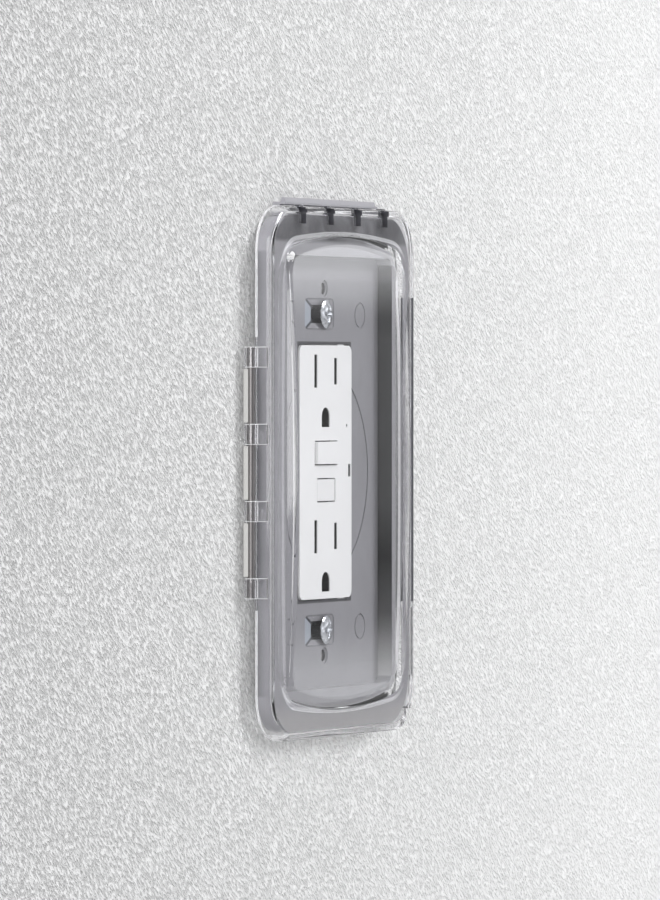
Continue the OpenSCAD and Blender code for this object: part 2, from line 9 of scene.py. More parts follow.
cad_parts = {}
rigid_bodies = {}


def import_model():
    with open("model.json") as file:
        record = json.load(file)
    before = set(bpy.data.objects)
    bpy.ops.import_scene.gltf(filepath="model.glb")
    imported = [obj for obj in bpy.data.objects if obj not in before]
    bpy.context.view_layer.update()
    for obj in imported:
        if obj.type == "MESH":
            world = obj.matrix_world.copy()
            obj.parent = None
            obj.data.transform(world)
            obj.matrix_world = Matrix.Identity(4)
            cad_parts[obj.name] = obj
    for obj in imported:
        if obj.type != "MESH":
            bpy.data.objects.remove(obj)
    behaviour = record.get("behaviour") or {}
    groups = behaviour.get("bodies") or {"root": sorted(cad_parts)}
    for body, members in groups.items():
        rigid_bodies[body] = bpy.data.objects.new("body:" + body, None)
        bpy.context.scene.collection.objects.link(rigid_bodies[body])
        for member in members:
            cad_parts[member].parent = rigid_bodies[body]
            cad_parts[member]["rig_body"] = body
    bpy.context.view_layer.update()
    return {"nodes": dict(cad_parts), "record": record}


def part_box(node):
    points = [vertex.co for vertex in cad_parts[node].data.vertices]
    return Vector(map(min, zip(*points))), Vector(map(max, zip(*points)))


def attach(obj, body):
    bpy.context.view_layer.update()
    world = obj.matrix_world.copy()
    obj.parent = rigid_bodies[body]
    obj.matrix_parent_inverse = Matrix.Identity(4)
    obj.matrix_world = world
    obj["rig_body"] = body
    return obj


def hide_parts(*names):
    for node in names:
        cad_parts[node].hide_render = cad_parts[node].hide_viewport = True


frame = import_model()
NODES = frame["nodes"]
BODY_OF = {n: o["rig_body"] for n, o in NODES.items()}
SLOT_OF = {s["node"]: s["material_slot"] for s in frame["record"]["subparts"]}
MM = 0.001

# ---------------------------------------------------------------- camera
CAMERA_AT = Vector((-1.6914, -0.7656, 0.0232))
CAMERA_AIM = Vector((0.0008, -0.00325, 0.0058))
LENS = 281.3


def make_camera():
    data = bpy.data.cameras.new("camera")
    data.lens = LENS
    data.sensor_width = 36
    camera = bpy.data.objects.new("camera", data)
    bpy.context.scene.collection.objects.link(camera)
    camera.location = CAMERA_AT
    camera.rotation_euler = (CAMERA_AIM - CAMERA_AT).to_track_quat("-Z", "Y").to_euler()
    bpy.context.scene.camera = camera


# ---------------------------------------------------------------- node helpers
class Nodes:
    """Short calls for adding nodes to one node tree. Colours are linear."""

    def __init__(self, tree):
        self.tree = tree

    def node(self, kind, **values):
        made = self.tree.nodes.new("ShaderNode" + kind)
        for key, value in values.items():
            setattr(made, key, value)
        return made

    def feed(self, socket, value):
        """Links a socket to an output, or sets it to a number or a colour."""
        if isinstance(value, bpy.types.NodeSocket):
            self.tree.links.new(value, socket)
        elif isinstance(value, tuple) and len(value) == 3 and socket.type == "RGBA":
            socket.default_value = (*value, 1)
        else:
            socket.default_value = value

    def math(self, operation, *values):
        made = self.node("Math", operation=operation)
        for socket, value in zip(made.inputs, values):
            self.feed(socket, value)
        return made.outputs[0]

    def chain(self, operation, first, *rest):
        """Joins any number of values with one operation."""
        for value in rest:
            first = self.math(operation, first, value)
        return first

    def product(self, *values):
        return self.chain("MULTIPLY", *values)

    def largest(self, *values):
        return self.chain("MAXIMUM", *values)

    def size(self, value):
        """The value without its sign."""
        return self.math("ABSOLUTE", value)

    def span(self, value, low, high, to_low, to_high, curve="LINEAR"):
        """Maps low..high to to_low..to_high, and keeps the end levels outside."""
        made = self.node("MapRange", interpolation_type=curve)
        numbers = {"From Min": low, "From Max": high, "To Min": to_low, "To Max": to_high}
        for key, number in numbers.items():
            made.inputs[key].default_value = number
        self.feed(made.inputs["Value"], value)
        return made.outputs["Result"]

    def above(self, value, limit, soft):
        """0 up to the limit, 1 from limit + soft on."""
        return self.span(value, limit, limit + soft, 0, 1)

    def below(self, value, limit, soft):
        """1 up to the limit, 0 from limit + soft on."""
        return self.span(value, limit, limit + soft, 1, 0)


class Tree(Nodes):
    """One material. Its patterns use the piece's own coordinates, so that they move with the piece."""

    def __init__(self, name):
        self.mat = bpy.data.materials.new(name)
        self.mat.use_nodes = True
        super().__init__(self.mat.node_tree)
        self.shader = self.tree.nodes["Principled BSDF"]
        self.output = self.tree.nodes["Material Output"]

    def place(self, stretch=(1, 1, 1), turn=0.0):
        """The piece's coordinates in metres, turned about Y and then stretched."""
        at = self.node("TexCoord").outputs["Object"]
        for name, value in (("Rotation", (0, turn, 0)), ("Scale", stretch)):
            mapping = self.node("Mapping")
            self.feed(mapping.inputs["Vector"], at)
            mapping.inputs[name].default_value = value
            at = mapping.outputs["Vector"]
        return at

    def axis(self, letter):
        """One of the piece's coordinates, in mm."""
        split = self.node("SeparateXYZ")
        self.feed(split.inputs[0], self.node("TexCoord").outputs["Object"])
        return self.math("MULTIPLY", split.outputs[letter], 1 / MM)

    def noise(self, scale, detail=3, rough=0.5, stretch=(1, 1, 1), turn=0.0):
        made = self.node("TexNoise")
        self.feed(made.inputs["Vector"], self.place(stretch, turn))
        made.inputs["Scale"].default_value = scale
        made.inputs["Detail"].default_value = detail
        made.inputs["Roughness"].default_value = rough
        return made.outputs["Fac"]

    def drift(self, scale):
        """Soft clouds from 0 to 1."""
        return self.span(self.noise(scale, 4, 0.6), 0.35, 0.7, 0, 1)

    def voronoi(self, scale):
        made = self.node("TexVoronoi", feature="F1")
        self.feed(made.inputs["Vector"], self.place())
        made.inputs["Scale"].default_value = scale
        return made.outputs["Distance"]

    def mix(self, share, first, second):
        made = self.node("Mix", data_type="RGBA")
        self.feed(made.inputs["Factor"], share)
        self.feed(made.inputs[6], first)
        self.feed(made.inputs[7], second)
        return made.outputs[2]

    def ramp(self, value, points):
        """A broken line through (place, level) points."""
        level = points[0][1]
        for (a, low), (b, high) in zip(points, points[1:]):
            level = self.math("ADD", level, self.span(value, a, b, 0, high - low))
        return level

    def bump(self, height, depth_mm, strength, under=None):
        made = self.node("Bump")
        made.inputs["Strength"].default_value = strength
        made.inputs["Distance"].default_value = depth_mm * MM
        self.feed(made.inputs["Height"], height)
        if under is not None:
            self.feed(made.inputs["Normal"], under)
        return made.outputs["Normal"]

    def set(self, **values):
        """Feeds inputs of the main shader."""
        for key, value in values.items():
            self.feed(self.shader.inputs[key.replace("_", " ")], value)

    def clear(self, tint=(1, 1, 1)):
        """A see-through shader."""
        made = self.node("BsdfTransparent")
        self.feed(made.inputs["Color"], tint)
        return made

    def blend(self, share, first, second):
        """The surface becomes a mix of two shaders."""
        mix = self.node("MixShader")
        self.feed(mix.inputs[0], share)
        self.feed(mix.inputs[1], first.outputs[0])
        self.feed(mix.inputs[2], second.outputs[0])
        self.feed(self.output.inputs["Surface"], mix.outputs[0])


# ---------------------------------------------------------------- mesh helpers
def add_mesh(name, bm):
    mesh = bpy.data.meshes.new(name)
    bmesh.ops.recalc_face_normals(bm, faces=bm.faces)
    bm.to_mesh(mesh)
    bm.free()
    made = bpy.data.objects.new(name, mesh)
    bpy.context.scene.collection.objects.link(made)
    return made


def modify(piece, kind, **values):
    modifier = piece.modifiers.new(kind.lower(), kind)
    for key, value in values.items():
        setattr(modifier, key, value)


def apply_all(piece):
    """Turns the modified shape into the piece's own mesh."""
    graph = bpy.context.evaluated_depsgraph_get()
    mesh = bpy.data.meshes.new_from_object(piece.evaluated_get(graph))
    piece.modifiers.clear()
    piece.data = mesh


def shade(piece, angle):
    """Smooth shading with creases from angle on, weighted so that flat faces look flat beside fillets."""
    for polygon in piece.data.polygons:
        polygon.use_smooth = True
    piece.data.set_sharp_from_angle(angle=radians(angle))
    modify(piece, "WEIGHTED_NORMAL", keep_sharp=True, weight=100)
    apply_all(piece)


def join_shapes(piece, other, operation):
    """Adds or cuts away another piece, which is used up."""
    modify(piece, "BOOLEAN", operation=operation, object=other, solver="EXACT")
    apply_all(piece)
    bpy.data.objects.remove(other)


def stand_for(piece, node, *materials):
    """The piece takes the place of a CAD node, on its body and in its slot; marks choose the material."""
    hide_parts(node)
    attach(piece, BODY_OF[node])
    index = [min(polygon.material_index, len(materials) - 1) for polygon in piece.data.polygons]
    piece.data.materials.clear()
    for material in materials:
        piece.data.materials.append(material)
    for polygon, chosen in zip(piece.data.polygons, index):
        polygon.material_index = chosen


BEVEL_ANGLE, BEVEL_SEGMENTS, SMOOTH_ANGLE = 38, 2, 35
FLAT_ANGLE, SAME_POINT = 0.6, 1e-6


def refine(node, material, edge, insert=None):
    """A copy of a CAD node whose sharp edges are rounded off by edge, in mm; insert adds shapes to it."""
    bm = bmesh.new()
    bm.from_mesh(NODES[node].data)
    bmesh.ops.remove_doubles(bm, verts=bm.verts, dist=SAME_POINT)
    bmesh.ops.dissolve_limit(bm, angle_limit=radians(FLAT_ANGLE), verts=bm.verts, edges=bm.edges)
    if insert:
        insert(bm)
    piece = add_mesh(node + "_moulded", bm)
    modify(piece, "BEVEL", width=edge * MM, segments=BEVEL_SEGMENTS, limit_method="ANGLE",
           angle_limit=radians(BEVEL_ANGLE), harden_normals=False)
    apply_all(piece)
    shade(piece, SMOOTH_ANGLE)
    stand_for(piece, node, material)


def box_mesh(bm, low, high, index=0):
    """Adds a box given by two corners in mm."""
    low, high = Vector(low) * MM, Vector(high) * MM
    made = bmesh.ops.create_cube(bm, size=1)
    for vert in made["verts"]:
        vert.co = Vector((low[i] + (vert.co[i] + 0.5) * (high[i] - low[i]) for i in range(3)))
        for face in vert.link_faces:
            face.material_index = index


def prism(bm, profile, z0, z1, end_index):
    """Adds a solid with a flat outline of (x, y) points in mm, from z0 up to z1, its ends marked."""
    rings = [[bm.verts.new(Vector((x, y, z)) * MM) for x, y in profile] for z in (z0, z1)]
    bridge(bm, rings)
    for ends in (list(reversed(rings[0])), rings[1]):
        bm.faces.new(ends).material_index = end_index


def bridge(bm, rings):
    """Faces between each ring of vertices and the next."""
    count = len(rings[0])
    made = []
    for first, second in zip(rings, rings[1:]):
        for i in range(count):
            j = (i + 1) % count
            made.append(bm.faces.new((first[i], first[j], second[j], second[i])))
    return made


# ---------------------------------------------------------------- outlines
CORNER_STEPS = 10
TOP_STEPS = 17
SIDE_STEPS = 30


def outline(half_w, half_h, r, arch=0.0):
    """Loop of (x, z) points of a round-cornered rectangle whose top and bottom bow out by arch."""
    loop = []
    steps = (TOP_STEPS, SIDE_STEPS, TOP_STEPS, SIDE_STEPS)
    for quarter, (sx, sz) in enumerate(((1, 1), (-1, 1), (-1, -1), (1, -1))):
        cx, cz = sx * (half_w - r), sz * (half_h - r)
        for k in range(CORNER_STEPS + 1):
            a = pi / 2 * (quarter + k / CORNER_STEPS)
            loop.append((cx + r * cos(a), cz + r * sin(a)))
        nx, nz = ((-1, 1), (-1, -1), (1, -1), (1, 1))[quarter]
        a = pi / 2 * (quarter + 1)
        start = Vector(loop[-1])
        end = Vector((nx * (half_w - r) + r * cos(a), nz * (half_h - r) + r * sin(a)))
        count = steps[quarter]
        loop += [tuple(start.lerp(end, k / (count + 1))) for k in range(1, count + 1)]
    if not arch:
        return loop
    arc_r = (half_w ** 2 + arch ** 2) / (2 * arch)
    return [(x, z * (1 - (arc_r - sqrt(arc_r ** 2 - x * x)) / half_h)) for x, z in loop]


def ring_at(bm, loop, depth):
    """One ring of vertices; depth is the distance in front of the wall in mm, or a rule for it."""
    rule = depth if callable(depth) else lambda x, z: depth
    return [bm.verts.new(Vector((x, -rule(x, z), z)) * MM) for x, z in loop]


def eased(s, e):
    """0 before -e, 1 after 1 + e, a straight slope between with round ends."""
    if s <= -e:
        return 0.0
    if s < e:
        return (s + e) ** 2 / (4 * e)
    if s <= 1 - e:
        return s
    if s < 1 + e:
        return 1 - (1 + e - s) ** 2 / (4 * e)
    return 1.0


# ---------------------------------------------------------------- lid
# Marks on the lid's faces; 0 is plain smoky wall. After the clear pane come painted shade, a painted
# highlight, and a darker tint that paints shade on the window's long slopes.
PANE, PAINTED_SHADE, PAINTED_HIGHLIGHT, SHADE_TINTED_SLOPE = range(1, 5)
LID_HALF_W, LID_HALF_H, LID_R = 45.85, 69.6, 12.0
LID_WALL = 1.6
RIM_DEPTH, FRAME_DEPTH, PLATEAU_STEP = 3.0, 8.0, 0.12
LEFT_EDGE_R, RIGHT_EDGE_R, INNER_EDGE_R = 1.7, 0.7, 0.8
CORNER, CORNER_IN = 0.35, 0.1
PLATEAU_IN_W, PLATEAU_IN_H, PLATEAU_R, PLATEAU_ARCH = 3.3, 6.4, 11.0, 3.0
WINDOW_HALF_W, WINDOW_HALF_H, WINDOW_R, WINDOW_ARCH = 37.5, 62.1, 5.0, 4.2
WINDOW_LOW, WINDOW_HIGH = 0.6, 3.1
WINDOW_RUN_W, WINDOW_RUN_H = 1.0, 1.9
INSIDE_W, INSIDE_H, INSIDE_R = 0.8, 0.4, 0.5
LONG_SLOPE_W, LONG_SLOPE_END = 2.5, 7
EASE = 0.22
SLOPE_STEPS = (-1, -0.5, 0, 0.5, 1)
WINDOW_FLAT = 1 + EASE + 0.5
HINGE_X, HINGE_DEPTH, KNUCKLE_R, BORE_R, BORE_LENGTH = -47.4, 2.6, 1.7, 1.1, 90
CLIP_H, CLIP_PITCH, CLIP_MID = 5.4, 19.9, 0.3
CLIP_OUT, CLIP_IN, CLIP_FRONT, CLIP_STEPS = 0.7, 0.5, 1.3, 26
CLIP_ROUND, PLAIN_ROUND = 0.34, 0.25
FITTING_COUNT, SLOT_PITCH = 4, 17.5
SLOT_STEM, SLOT_TOP = (1.7, 4.6, 1.6), (2.6, 1.7, 0.3)
SLOT_OVER = 1
HOOK_LEFT, HOOK_RIGHT, HOOK_FRONT, HOOK_BACK, HOOK_UP = 1.5, 1.0, 0.5, 2.2, 0.3
TAB_Z, TAB_H, TAB_IN, TAB_OUT, TAB_FRONT, TAB_BACK = -46.2, 18.3, 0.5, 0.7, 1, 0.3
# width of the lid's edge band, and where a strip of painted shade runs along the front of its right edge
EDGE_BAND_W, RIGHT_SHADE_BACK, RIGHT_SHADE_LOW, RIGHT_SHADE_HIGH = 2.3, 0.8, -36, 48
RIM_BAND, HINGE_REACH = 0.3, 34
NOTCH = 5.6


def slope_samples():
    """Shares of a slope where a ring is made: close together in its round ends."""
    low = [EASE * k for k in SLOPE_STEPS]
    return low + [0.5] + [1 + EASE * k for k in SLOPE_STEPS]


def window_rise(z):
    """How far the window stands in front of the frame at height z."""
    bow = WINDOW_HIGH - WINDOW_LOW
    bow_r = (WINDOW_HALF_H ** 2 + bow ** 2) / (2 * bow)
    return WINDOW_HIGH - (bow_r - sqrt(bow_r ** 2 - z * z))


def lid_loop(inset):
    return outline(LID_HALF_W - inset, LID_HALF_H - inset, LID_R - inset)


def window_loop(s, wall):
    """The raised window's outline at share s of its slope; wall is how far the inside lies in."""
    return outline(WINDOW_HALF_W - INSIDE_W * wall - WINDOW_RUN_W * s,
                   WINDOW_HALF_H - INSIDE_H * wall - WINDOW_RUN_H * s,
                   WINDOW_R - INSIDE_R * wall, WINDOW_ARCH)


def window_depth(s, base):
    return lambda x, z: base + window_rise(z) * eased(s, EASE)


def quarter_fillet(inset, depth, r, steps=6):
    """(inset, depth) pairs of a round edge from the side wall to the flat frame."""
    return [(inset + r * (1 - cos(a)), depth - r * (1 - sin(a)))
            for a in (pi / 2 * k / steps for k in range(steps + 1))]


def mark_slopes(faces):
    """The window's long slopes, left and right, are dimmer, a darker tint that paints shade on them; their
    ends and the arched slopes are pane.
    """
    for face in faces:
        x, _, z = face.calc_center_median() / MM
        long_slope = abs(x) >= WINDOW_HALF_W - LONG_SLOPE_W and abs(z) <= WINDOW_HALF_H - LONG_SLOPE_END
        face.material_index = SHADE_TINTED_SLOPE if long_slope else PANE


def mark_edges(faces):
    """The rim is bright, a painted highlight, except beside the hinge clips; a strip along the front of the
    right edge is dark, as painted shade.
    """
    for face in faces:
        x, y, z = face.calc_center_median() / MM
        # the rim's painted highlight
        if y > -RIM_DEPTH - RIM_BAND and (abs(z) > HINGE_REACH or x > 0):
            face.material_index = PAINTED_HIGHLIGHT
        elif x > LID_HALF_W - EDGE_BAND_W and y < -FRAME_DEPTH + RIGHT_SHADE_BACK and RIGHT_SHADE_LOW < z < RIGHT_SHADE_HIGH:
            face.material_index = PAINTED_SHADE


def cap(bm, ring, loop, depth):
    """Closes the window with strips that run level from its outline to the middle line."""
    spine = ring_at(bm, [(0, z) for _, z in loop], depth)
    for face in bridge(bm, [ring, spine]):
        face.material_index = PANE


def frame_ring(bm, left, right):
    """Ring around the lid that goes from the left edge's (inset, depth) over to the right edge's."""
    ring = []
    for near, far in zip(lid_loop(left[0]), lid_loop(right[0])):
        share = min(1, max(0, 0.5 + near[0] / LID_HALF_W))
        x, z = Vector(near).lerp(Vector(far), share)
        ring.append(bm.verts.new(Vector((x, -left[1] - (right[1] - left[1]) * share, z)) * MM))
    return ring


def lid_surface(bm, left, right, flange, wall, plateau):
    """Outer or inner surface of the lid: side wall, frame, window slope and window. Returns its rim."""
    rings = [frame_ring(bm, *pair) for pair in zip(left, right)]
    rim = rings[0]
    for s in slope_samples() if plateau else ():
        half_w, half_h = LID_HALF_W - PLATEAU_IN_W - s, LID_HALF_H - PLATEAU_IN_H - s
        loop = outline(half_w, half_h, PLATEAU_R, PLATEAU_ARCH)
        rings.append(ring_at(bm, loop, flange + PLATEAU_STEP * eased(s, EASE)))
    base = FRAME_DEPTH - wall
    shares = slope_samples() + [WINDOW_FLAT]
    slope = [ring_at(bm, window_loop(s, wall), window_depth(s, base)) for s in shares]
    mark_edges(bridge(bm, rings + slope[:1]))
    mark_slopes(bridge(bm, slope))
    cap(bm, slope[-1], window_loop(WINDOW_FLAT, wall), window_depth(WINDOW_FLAT, base))
    return rim


def rim_corner(inset, way):
    """(inset, depth) pairs of the rim's small round corner; way is 1 inwards or -1 outwards."""
    return [(inset + way * CORNER, RIM_DEPTH), (inset + way * CORNER_IN, RIM_DEPTH + CORNER_IN),
            (inset, RIM_DEPTH + CORNER)]


def lid_shell():
    """The lid without its clips, hooks, tab and cuts: an outer and an inner surface that meet at the rim."""
    bm = bmesh.new()
    flange = FRAME_DEPTH - PLATEAU_STEP
    left, right = [rim_corner(0, 1) + quarter_fillet(0, flange, r) + [(EDGE_BAND_W, flange)]
                   for r in (LEFT_EDGE_R, RIGHT_EDGE_R)]
    inner = rim_corner(LID_WALL, -1) + quarter_fillet(LID_WALL, FRAME_DEPTH - LID_WALL, INNER_EDGE_R, 4)
    bridge(bm, [lid_surface(bm, left, right, flange, 0, True),
                lid_surface(bm, inner, inner, flange, LID_WALL, False)])
    bmesh.ops.remove_doubles(bm, verts=bm.verts, dist=1e-7)
    bmesh.ops.dissolve_degenerate(bm, edges=bm.edges, dist=1e-7)
    return with_slots(add_mesh("lid_moulded", bm))


def with_slots(piece):
    """Empty material slots, so that the marks on the faces outlive the joins."""
    for _ in range(SHADE_TINTED_SLOPE + 1):
        piece.data.materials.append(None)
    return piece


def clip_profile():
    """Outline of one hinge clip seen from above: a knuckle with a pad on the lid's side wall."""
    pad_x, root_x = -LID_HALF_W - CLIP_OUT, -LID_HALF_W + CLIP_IN
    front = -FRAME_DEPTH + CLIP_FRONT
    start = atan2(-sqrt(KNUCKLE_R ** 2 - (pad_x - HINGE_X) ** 2), pad_x - HINGE_X)
    sweep = 2 * pi + start - radians(8)
    turns = [start - sweep * k / CLIP_STEPS for k in range(CLIP_STEPS + 1)]
    knuckle = [(HINGE_X + KNUCKLE_R * cos(a), -HINGE_DEPTH + KNUCKLE_R * sin(a)) for a in turns]
    pad = [(root_x, front), (pad_x + CORNER, front), (pad_x + CORNER_IN, front + CORNER_IN),
           (pad_x, front + CORNER)]
    return pad + knuckle + [(root_x, -RIM_DEPTH)]


def spaced(middle, pitch):
    """Places of the four clips or slots."""
    return [middle + (i - (FITTING_COUNT - 1) / 2) * pitch for i in range(FITTING_COUNT)]


def rounded(name, bm, width, index):
    """A piece with its edges rounded by width in mm; index marks the round faces, -1 leaves them unmarked."""
    piece = with_slots(add_mesh(name, bm))
    modify(piece, "BEVEL", width=width * MM, segments=2, limit_method="ANGLE",
           angle_limit=radians(50), material=index)
    apply_all(piece)
    return piece


def lid_fittings():
    """Hinge clips, whose ends and rounded edges carry a painted highlight, then the pull tab and the hooks in
    the top slots, painted dark as painted shade, to be joined to the shell.
    """
    clips, rest = bmesh.new(), bmesh.new()
    # each clip's ends and rounded edges carry a painted highlight
    for z in spaced(CLIP_MID, CLIP_PITCH):
        prism(clips, clip_profile(), z - CLIP_H / 2, z + CLIP_H / 2, PAINTED_HIGHLIGHT)
    box_mesh(rest, (LID_HALF_W - TAB_IN, -FRAME_DEPTH + TAB_FRONT, TAB_Z - TAB_H / 2),
             (LID_HALF_W + TAB_OUT, -RIM_DEPTH - TAB_BACK, TAB_Z + TAB_H / 2))
    for x in spaced(0, SLOT_PITCH):
        # the hooks are painted dark: painted shade
        box_mesh(rest, (x - HOOK_LEFT, -FRAME_DEPTH + HOOK_FRONT, LID_HALF_H - LID_WALL),
                 (x + HOOK_RIGHT, -FRAME_DEPTH + HOOK_BACK, LID_HALF_H + HOOK_UP), PAINTED_SHADE)
    return [rounded("clips", clips, CLIP_ROUND, PAINTED_HIGHLIGHT), rounded("rest", rest, PLAIN_ROUND, -1)]


def lid_cuts():
    """What is cut out of the lid: bore, slot stems and notch, then the slots' wider tops. The two meshes
    stay apart, because boxes that overlap within one cutter break the cut."""
    cuts, tops = bmesh.new(), bmesh.new()
    bmesh.ops.create_cone(cuts, segments=40, radius1=BORE_R * MM, radius2=BORE_R * MM,
                          depth=BORE_LENGTH * MM, cap_ends=True,
                          matrix=Matrix.Translation(Vector((HINGE_X, -HINGE_DEPTH, CLIP_MID)) * MM))
    for x in spaced(0, SLOT_PITCH):
        for bm, (half_w, low, high) in ((cuts, SLOT_STEM), (tops, SLOT_TOP)):
            # the slots' walls take painted shade
            box_mesh(bm, (x - half_w, -FRAME_DEPTH - SLOT_OVER, LID_HALF_H - low),
                     (x + half_w, -FRAME_DEPTH + LID_WALL + SLOT_OVER, LID_HALF_H - high), PAINTED_SHADE)
    box_mesh(cuts, (LID_HALF_W - NOTCH, -FRAME_DEPTH - 4, -LID_HALF_H - 2),
             (LID_HALF_W + 2, 0, -LID_HALF_H + NOTCH))
    return [with_slots(add_mesh("cuts", cuts)), with_slots(add_mesh("slot_tops", tops))]


def make_lid(smoky):
    lid = lid_shell()
    for fitting in lid_fittings():
        join_shapes(lid, fitting, "UNION")
    for cut in lid_cuts():
        join_shapes(lid, cut, "DIFFERENCE")
    shade(lid, 30)
    stand_for(lid, "lid", smoky, clear_pane(),
              # painted shade for the hooks, the slot walls and the right edge strip; a painted highlight for
              # the rim and the clips; a darker tint that paints shade on the long window slopes
              painted_lid_edge("shade_painted_edge", (0.13, 0.13, 0.145), 0.4),
              painted_lid_edge("highlight_painted_edge", (0.85, 0.85, 0.86), 0.25),
              smoky_clear("slope_shade_tint", (0.81, 0.808, 0.822)))


# ---------------------------------------------------------------- refined CAD pieces
EDGES = {"cover_base": 0.25, "face_cover": 0.35, "reset_button": 0.3, "test_button": 0.3, "wall_gasket": 0.3,
         "mounting_strap": 0.3, "rear_housing": 0.4, "clamp_plates": 0.2, "indicator_lens": 0.1}
PLAIN_EDGE = 0.12
HAND_BUILT = ("lid", "mounting_screws", "reset_spring", "test_spring", "plunger_spring")


SCREW_Z = 41.67
POCKET, RAMP_FOOT = (-12.6, 6.2, 4.1), (-7.8, 2.9, 2.35)
POCKET_TOP_Y, RAMP_FOOT_Y, POCKET_FLOOR_Y = -1.97, -1.32, -1.25


def pocket_ramps(bm):
    """Sloping sides round the keyhole in each screw pocket. The boxes are (left, right, half height)."""
    for z in (SCREW_Z, -SCREW_Z):
        rings = []
        for (x0, x1, half), y in ((POCKET, POCKET_TOP_Y), (RAMP_FOOT, RAMP_FOOT_Y), (POCKET, POCKET_FLOOR_Y)):
            corners = ((x0, -half), (x1, -half), (x1, half), (x0, half))
            rings.append([bm.verts.new(Vector((x, y, z + dz)) * MM) for x, dz in corners])
        bridge(bm, rings + rings[:1])


def refine_nodes(materials):
    for node in NODES:
        if node not in HAND_BUILT:
            insert = pocket_ramps if node == "cover_base" else None
            refine(node, materials[SLOT_OF[node]], EDGES.get(node, PLAIN_EDGE), insert)


def circle(sides):
    """(cosine, sine) of each step of a full turn."""
    return [(cos(2 * pi * j / sides), sin(2 * pi * j / sides)) for j in range(sides)]


COIL_STEPS, WIRE_SIDES = 28, 10


def coil(node, axis, wire_mm, turns, material):
    """Round-wire spring that fills a CAD spring's own box; axis is 1 for Y or 2 for Z."""
    low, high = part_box(node)
    middle = (low + high) / 2
    wire = wire_mm * MM / 2
    r = (high[0] - low[0]) / 2 - wire
    length = high[axis] - low[axis] - 2 * wire
    count = turns * COIL_STEPS
    bm = bmesh.new()
    rings = []
    for k in range(count + 1):
        a = 2 * pi * k / COIL_STEPS
        along = low[axis] + wire + length * k / count
        ring = []
        for c, s in circle(WIRE_SIDES):
            out, up = r + wire * c, along + wire * s
            x, other = middle[0] + out * cos(a), middle[3 - axis] + out * sin(a)
            ring.append(bm.verts.new((x, up, other) if axis == 1 else (x, other, up)))
        rings.append(ring)
    bridge(bm, rings)
    bm.faces.new(rings[0])
    bm.faces.new(list(reversed(rings[-1])))
    spring = add_mesh(node + "_coil", bm)
    shade(spring, 50)
    stand_for(spring, node, material)


def make_springs(material):
    coil("reset_spring", 1, 0.5, 4, material)
    coil("test_spring", 1, 0.5, 3, material)
    coil("plunger_spring", 2, 0.4, 3, material)


HEAD_R, HEAD_TOP, HEAD_SEAT, HEAD_DOME = 3.75, -3.44, -1.3, 0.75
HEAD_FLANGE, HEAD_IN, COLLAR_R = 0.8, 0.12, 2.2
CROSS_R, CROSS_HALF, CROSS_DEPTH = 2.3, 0.5, 1.3
CROSS_WIDE, CROSS_TAPER, CROSS_SIDE, CROSS_END = 1.15, 0.35, 0.16, 0.5
CROSS_MIDDLE_R, CROSS_MIDDLE_SIDE = 0.85, 0.3
NECK_R, THREAD_R, THREAD_DEPTH, THREAD_PITCH = 1.4, 1.75, 0.32, 0.79
THREAD_START, THREAD_END, THREAD_STEPS = 5.8, 27.0, 8
METAL, SHADED = 0, 1


def ring_about(bm, y, z, radii):
    """One ring of vertices about a Y axis at height z, with a radius in mm for each of its sides."""
    turns = circle(len(radii))
    return [bm.verts.new(Vector((r * c, y, z + r * s)) * MM) for r, (c, s) in zip(radii, turns)]


def turned(bm, rule, ys, z, sides, index):
    """A turned shape about Y at height z: rule(y, turn) gives the radius in mm, turn from 0 to 1."""
    rings = [ring_about(bm, y, z, [rule(y, j / sides) for j in range(sides)]) for y in ys]
    for face in bridge(bm, rings):
        face.material_index = index
    bm.faces.new(rings[0])
    bm.faces.new(list(reversed(rings[-1])))


def share_of(value):
    """The value, kept between 0 and 1."""
    return min(1, max(0, value))


def head_front(x, z):
    """Front of a pan head in mm: a low dome with a tapered cross sunk into it."""
    r = sqrt(x * x + z * z)
    y = HEAD_TOP + HEAD_DOME * (min(r, HEAD_R) / HEAD_R) ** 3
    along, across = max(abs(x), abs(z)), min(abs(x), abs(z))
    half = CROSS_HALF * (CROSS_WIDE - CROSS_TAPER * along / CROSS_R)
    into = share_of((half - across) / CROSS_SIDE) * share_of((CROSS_R - along) / CROSS_END)
    middle = share_of((CROSS_MIDDLE_R - r) / CROSS_MIDDLE_SIDE)
    return y + CROSS_DEPTH * max(into, middle)


def pan_head(bm, z, sides=120, steps=26):
    """Screw head with a domed front, a thin rolled flange and a shaded collar under it."""
    rings = []
    for k in range(1, steps + 1):
        r = HEAD_R * (k / steps) ** 0.8 - (HEAD_IN if k == steps else 0)
        loop = [(r * c, r * s) for c, s in circle(sides)]
        rings.append([bm.verts.new(Vector((x, head_front(x, up), z + up)) * MM) for x, up in loop])
    flat = HEAD_TOP + HEAD_FLANGE
    for r, y in ((HEAD_R, flat - 0.05), (HEAD_R, flat + 0.05), (HEAD_R - 0.15, flat + 0.2),
                 (COLLAR_R, flat + 0.25), (COLLAR_R, HEAD_SEAT)):
        rings.append(ring_about(bm, y, z, [r] * sides))
    bridge(bm, rings[:-2])
    for face in bridge(bm, rings[-3:]):
        face.material_index = SHADED
    bm.faces.new(rings[0])
    bm.faces.new(list(reversed(rings[-1])))


def thread_radius(y, turn):
    """Radius of the thread in mm: a ridge that winds along the screw and fades at both of its ends."""
    wave = ((y - THREAD_START) / THREAD_PITCH - turn) % 1
    ridge = 1 - abs(2 * wave - 1)
    tip = min(1, (THREAD_END - y) / 1.2, (y - THREAD_START) / 0.8 + 0.2)
    point = 0.25 * max(0, 1 - (THREAD_END - y) / 0.8)
    return THREAD_R - THREAD_DEPTH * (1 - ridge * max(tip, 0)) - point


